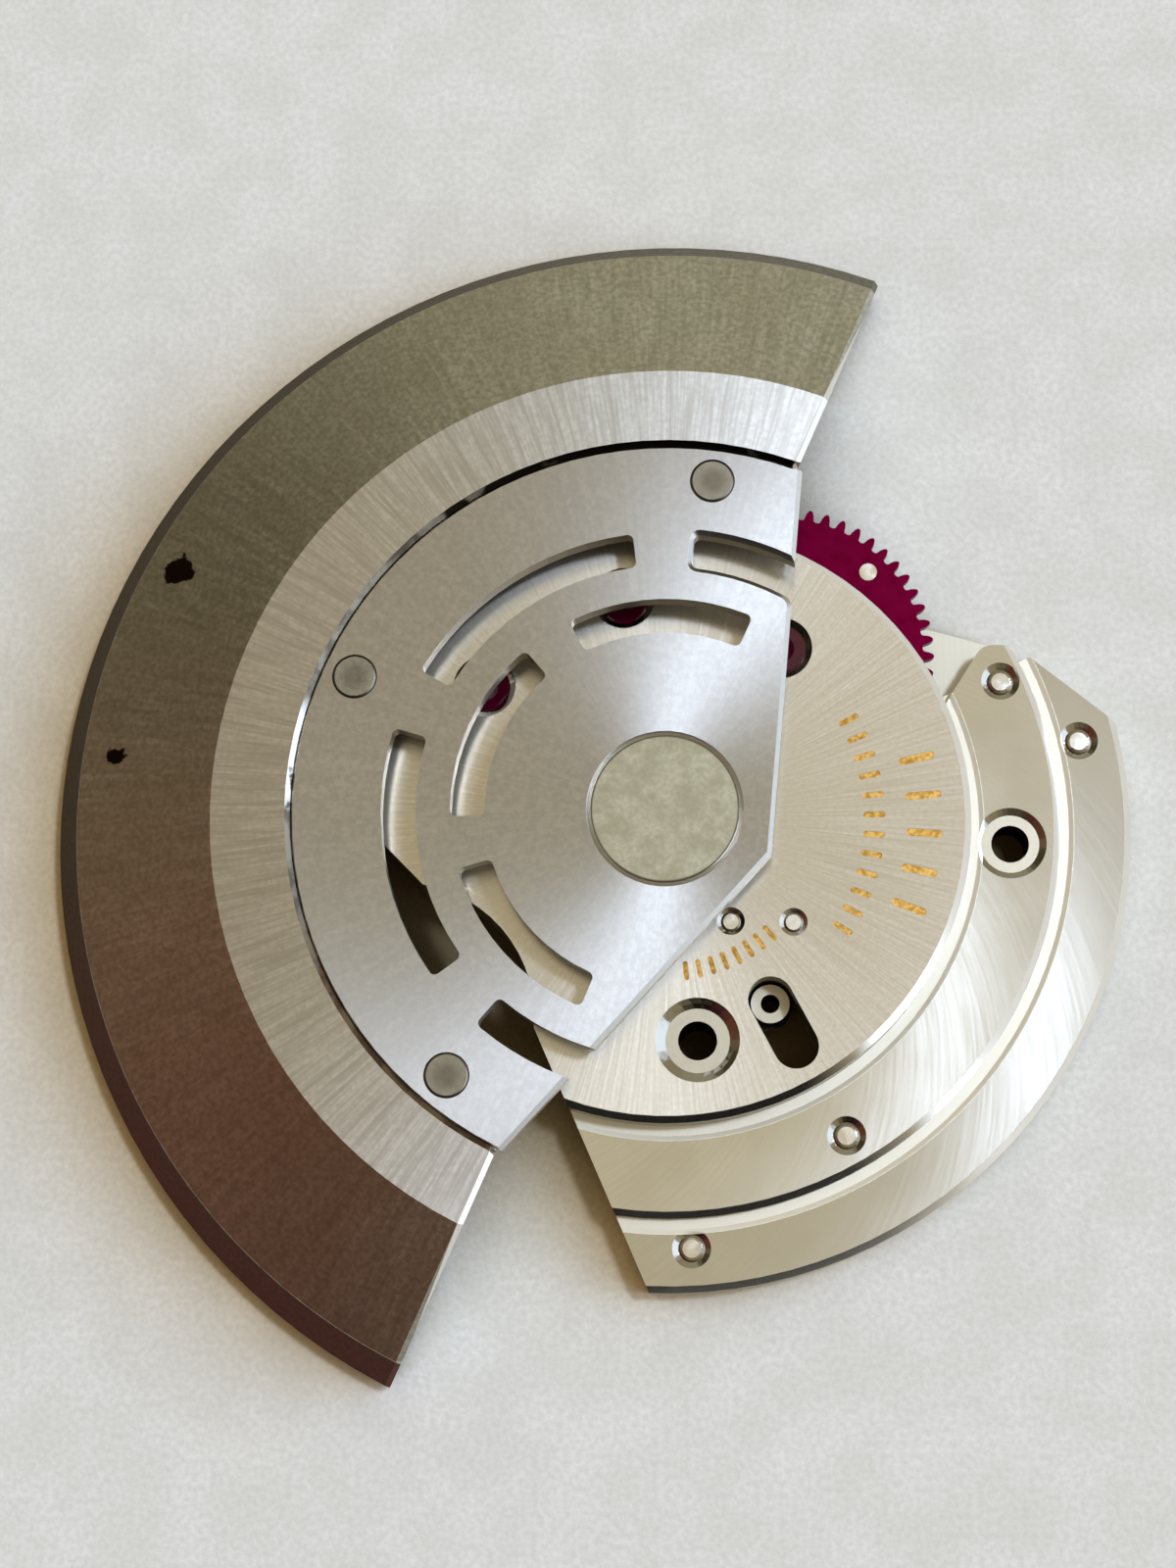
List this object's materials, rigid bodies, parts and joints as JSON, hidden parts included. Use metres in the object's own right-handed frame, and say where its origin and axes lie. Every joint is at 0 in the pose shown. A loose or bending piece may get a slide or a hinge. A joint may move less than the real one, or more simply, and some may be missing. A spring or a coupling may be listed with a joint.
{
  "type": "automatic watch rotor",
  "caption": "Half-ring winding weight riveted to a slotted web, turning on a stepped bridge module with reversing wheels and a gear train to an output pinion.",
  "frame": {"origin": "rotor axis, in the plane of the module's underside seat", "axes": "+Z along the rotor axis from the seat towards the rotor, +Y towards the red wheels' side of the disc, +X towards the second screw tube's side"},
  "size_m": [0.0243, 0.0263, 0.0034],
  "materials": {
    "weight": "radially brushed heavy metal",
    "web": "satin, circular grained",
    "axle": "fine matte",
    "bridge": "straight and circular grained, polished bevels",
    "pin_steel": "polished ends",
    "rivet_steel": "satin",
    "ruby": "polished",
    "red_wheel": "red anodised, satin",
    "gear_steel": "polished",
    "gilt": "gilt",
    "bush": "pale, satin"
  },
  "bodies": {
    "module": {"upper_bridge": "bridge", "lower_bridge": "bridge", "index_marks": "gilt", "screw_tube_a": "pin_steel", "screw_tube_b": "pin_steel", "slot_bush": "bush", "bridge_pins": "pin_steel", "disc_pins": "pin_steel", "bridge_screws": "gear_steel", "rotor_jewel_upper": "ruby", "rotor_jewel_lower": "ruby", "driver_bush": "bush", "reverser_a_jewel_upper": "ruby", "reverser_a_jewel_lower": "ruby", "reverser_b_jewel_upper": "ruby", "reverser_b_jewel_lower": "ruby", "intermediate_jewel_upper": "ruby", "intermediate_jewel_lower": "ruby"},
    "rotor": {"weight_segment": "weight", "rotor_web": "web", "weight_rivets": "rivet_steel", "rotor_axle": "axle", "rotor_pinion": "gear_steel", "axle_clip": "gear_steel"},
    "intermediate": {"intermediate_wheel": "gilt", "intermediate_arbor": "gear_steel"},
    "output_shaft": {"driving_wheel": "gilt", "output_pinion": "gear_steel"},
    "reverser_a": {"reverser_a_wheel": "red_wheel", "reverser_a_pawl_pins": "pin_steel"},
    "reverser_a_arbor": {"reverser_a_arbor": "gear_steel", "reverser_a_ratchet": "gear_steel"},
    "reverser_a_pawl_1": {"reverser_a_pawl_1": "gear_steel"},
    "reverser_a_pawl_2": {"reverser_a_pawl_2": "gear_steel"},
    "reverser_b": {"reverser_b_wheel": "red_wheel", "reverser_b_pawl_pins": "pin_steel"},
    "reverser_b_arbor": {"reverser_b_arbor": "gear_steel", "reverser_b_ratchet": "gear_steel"},
    "reverser_b_pawl_1": {"reverser_b_pawl_1": "gear_steel"},
    "reverser_b_pawl_2": {"reverser_b_pawl_2": "gear_steel"}
  },
  "joints": [
    {"name": "rotor_spin", "type": "hinge", "parent": "module", "child": "rotor", "pos_m": [0, 0, 0], "axis": [0, 0, 1], "continuous": true},
    {"name": "intermediate_spin", "type": "hinge", "parent": "module", "child": "intermediate", "pos_m": [-0.00092, 0.00503, 0], "axis": [0, 0, 1], "continuous": true},
    {"name": "output_spin", "type": "hinge", "parent": "module", "child": "output_shaft", "pos_m": [-0.00099, 0.00308, 0], "axis": [0, 0, 1], "continuous": true},
    {"name": "reverser_a_spin", "type": "hinge", "parent": "module", "child": "reverser_a", "pos_m": [-0.00406, 0.00303, 0], "axis": [0, 0, 1], "continuous": true},
    {"name": "reverser_a_arbor_spin", "type": "hinge", "parent": "module", "child": "reverser_a_arbor", "pos_m": [-0.00406, 0.00303, 0], "axis": [0, 0, 1], "continuous": true},
    {"name": "reverser_a_pawl_1_rock", "type": "hinge", "parent": "reverser_a", "child": "reverser_a_pawl_1", "pos_m": [-0.00205, 0.00496, 0], "axis": [0, 0, 1], "range_deg": [-2, 5]},
    {"name": "reverser_a_pawl_2_rock", "type": "hinge", "parent": "reverser_a", "child": "reverser_a_pawl_2", "pos_m": [-0.00545, 0.00062, 0], "axis": [0, 0, 1], "range_deg": [-2, 5]},
    {"name": "reverser_b_spin", "type": "hinge", "parent": "module", "child": "reverser_b", "pos_m": [0.0026, 0.00384, 0], "axis": [0, 0, 1], "continuous": true},
    {"name": "reverser_b_arbor_spin", "type": "hinge", "parent": "module", "child": "reverser_b_arbor", "pos_m": [0.0026, 0.00384, 0], "axis": [0, 0, 1], "continuous": true},
    {"name": "reverser_b_pawl_1_rock", "type": "hinge", "parent": "reverser_b", "child": "reverser_b_pawl_1", "pos_m": [0.00462, 0.00577, 0], "axis": [0, 0, 1], "range_deg": [-2, 5]},
    {"name": "reverser_b_pawl_2_rock", "type": "hinge", "parent": "reverser_b", "child": "reverser_b_pawl_2", "pos_m": [0.00121, 0.00142, 0], "axis": [0, 0, 1], "range_deg": [-2, 5]}
  ],
  "couplings": [
    {"joint": "output_spin", "follows": "intermediate_spin", "ratio": -0.45455},
    {"joint": "reverser_a_spin", "follows": "rotor_spin", "ratio": 0.38182},
    {"joint": "reverser_a_arbor_spin", "follows": "intermediate_spin", "ratio": -5.1},
    {"joint": "reverser_b_spin", "follows": "rotor_spin", "ratio": -0.38182},
    {"joint": "reverser_b_arbor_spin", "follows": "intermediate_spin", "ratio": -5.1}
  ]
}
